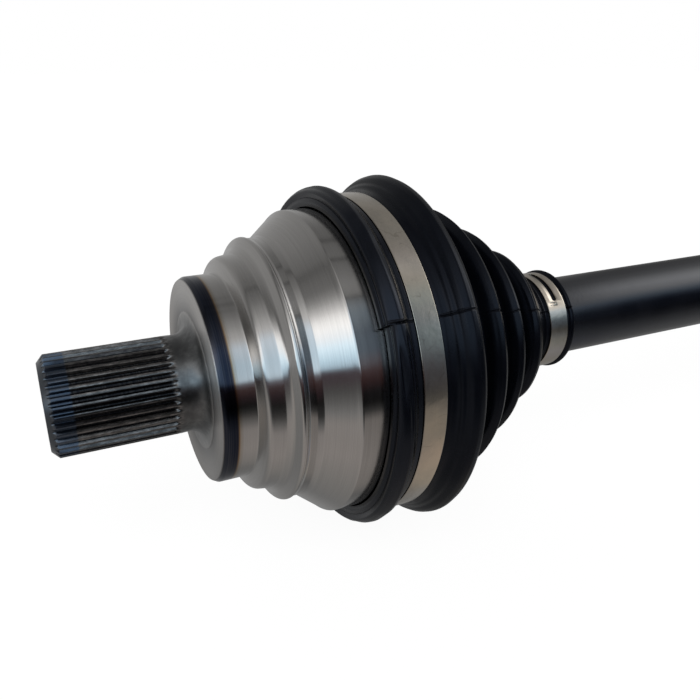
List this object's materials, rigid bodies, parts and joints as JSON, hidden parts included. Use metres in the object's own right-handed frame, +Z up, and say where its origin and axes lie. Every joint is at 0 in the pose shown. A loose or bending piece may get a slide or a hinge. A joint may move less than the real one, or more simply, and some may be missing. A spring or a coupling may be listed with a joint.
{
  "type": "drive shaft",
  "caption": "Front-wheel drive shaft: splined stub with turned bell housing and ball joint, black boots with steel clamps, painted bar, tripod plunging joint with bolt flange.",
  "frame": {"origin": "on the shaft axis in the plane of the shoulder that meets the wheel hub, inside the stub's threaded hole", "axes": "+X along the shaft from the wheel end to the gearbox end, +Z up as the shaft lies level, top roller of the tripod joint towards +Z"},
  "size_m": [0.5542, 0.108, 0.108],
  "materials": {
    "turned_steel": "fine lathe-turned, bright, with a dark hardened band behind the shoulder and dark phosphated spline teeth",
    "bar_paint": "semi-gloss black paint",
    "boot_rubber": "satin black moulded rubber with a fine mould line",
    "clamp_steel": "smooth stainless band, faintly scratched",
    "forged_steel": "forged and phosphated, with a turned flange face",
    "ground_steel": "hardened and ground, oiled",
    "polished_steel": "polished bearing steel",
    "spring_steel": "blued spring steel",
    "cap_steel": "pressed sheet steel, zinc plated",
    "thrust_plastic": "moulded nylon",
    "adapter_plastic": "moulded black elastomer"
  },
  "bodies": {
    "shaft": {"shaft_bar": "bar_paint", "outer_inner_race": "ground_steel", "outer_circlip": "spring_steel", "outer_dished_washer": "spring_steel", "outer_thrust_ring": "thrust_plastic", "outer_clamp_small": "clamp_steel", "tripod_spider": "ground_steel", "inner_circlip": "spring_steel", "inner_stop_ring": "spring_steel", "inner_clamp_small": "clamp_steel"},
    "outer_housing": {"outer_joint_bell": "turned_steel", "outer_boot": "boot_rubber", "outer_clamp_large": "clamp_steel"},
    "outer_cage_set": {"outer_cage": "ground_steel", "outer_balls": "polished_steel"},
    "side_rollers": {"side_roller_inner_rings": "ground_steel", "side_roller_needles": "polished_steel"},
    "left_roller": {"left_roller_ring": "ground_steel"},
    "right_roller": {"right_roller_ring": "ground_steel"},
    "top_roller_carrier": {"top_roller_inner_ring": "ground_steel", "top_roller_needles": "polished_steel"},
    "top_roller": {"top_roller_ring": "ground_steel"},
    "inner_housing": {"inner_joint_housing": "forged_steel", "inner_end_cap": "cap_steel", "cap_seal_ring": "boot_rubber", "boot_adapter": "adapter_plastic", "inner_boot": "boot_rubber", "inner_clamp_large": "clamp_steel"}
  },
  "joints": [
    {"name": "outer_tilt", "type": "hinge", "parent": "shaft", "child": "outer_housing", "pos_m": [0.046, 0, 0], "axis": [0, 1, 0], "range_deg": [-45, 45], "deforming": ["outer_boot"]},
    {"name": "outer_cage_tilt", "type": "hinge", "parent": "shaft", "child": "outer_cage_set", "pos_m": [0.046, 0, 0], "axis": [0, 1, 0], "range_deg": [-22.5, 22.5]},
    {"name": "inner_tilt", "type": "hinge", "parent": "shaft", "child": "side_rollers", "pos_m": [0.466, 0, -0.012], "axis": [0, 1, 0], "range_deg": [-18, 18], "deforming": ["inner_boot"]},
    {"name": "inner_plunge", "type": "slide", "parent": "side_rollers", "child": "inner_housing", "axis": [1, 0, 0], "range_m": [-0.015, 0.015]},
    {"name": "left_roller_spin", "type": "hinge", "parent": "side_rollers", "child": "left_roller", "pos_m": [0.466, 0.02078, -0.012], "axis": [0, 0.866, -0.5], "range_deg": [-53, 53]},
    {"name": "right_roller_spin", "type": "hinge", "parent": "side_rollers", "child": "right_roller", "pos_m": [0.466, -0.02078, -0.012], "axis": [0, -0.866, -0.5], "range_deg": [-53, 53]},
    {"name": "top_roller_slide", "type": "slide", "parent": "side_rollers", "child": "top_roller_carrier", "axis": [1, 0, 0], "range_m": [-0.0112, 0.0112]},
    {"name": "top_roller_spin", "type": "hinge", "parent": "top_roller_carrier", "child": "top_roller", "pos_m": [0.466, 0, 0.024], "axis": [0, 0, 1], "range_deg": [-53, 53]}
  ],
  "couplings": [
    {"joint": "outer_cage_tilt", "follows": "outer_tilt", "ratio": 0.5},
    {"joint": "top_roller_slide", "follows": "inner_tilt", "m_per_rad": -0.035557},
    {"joint": "left_roller_spin", "follows": "inner_plunge", "rad_per_m": -60.606},
    {"joint": "right_roller_spin", "follows": "inner_plunge", "rad_per_m": -60.606},
    {"joint": "top_roller_spin", "follows": "inner_plunge", "rad_per_m": -60.606}
  ]
}
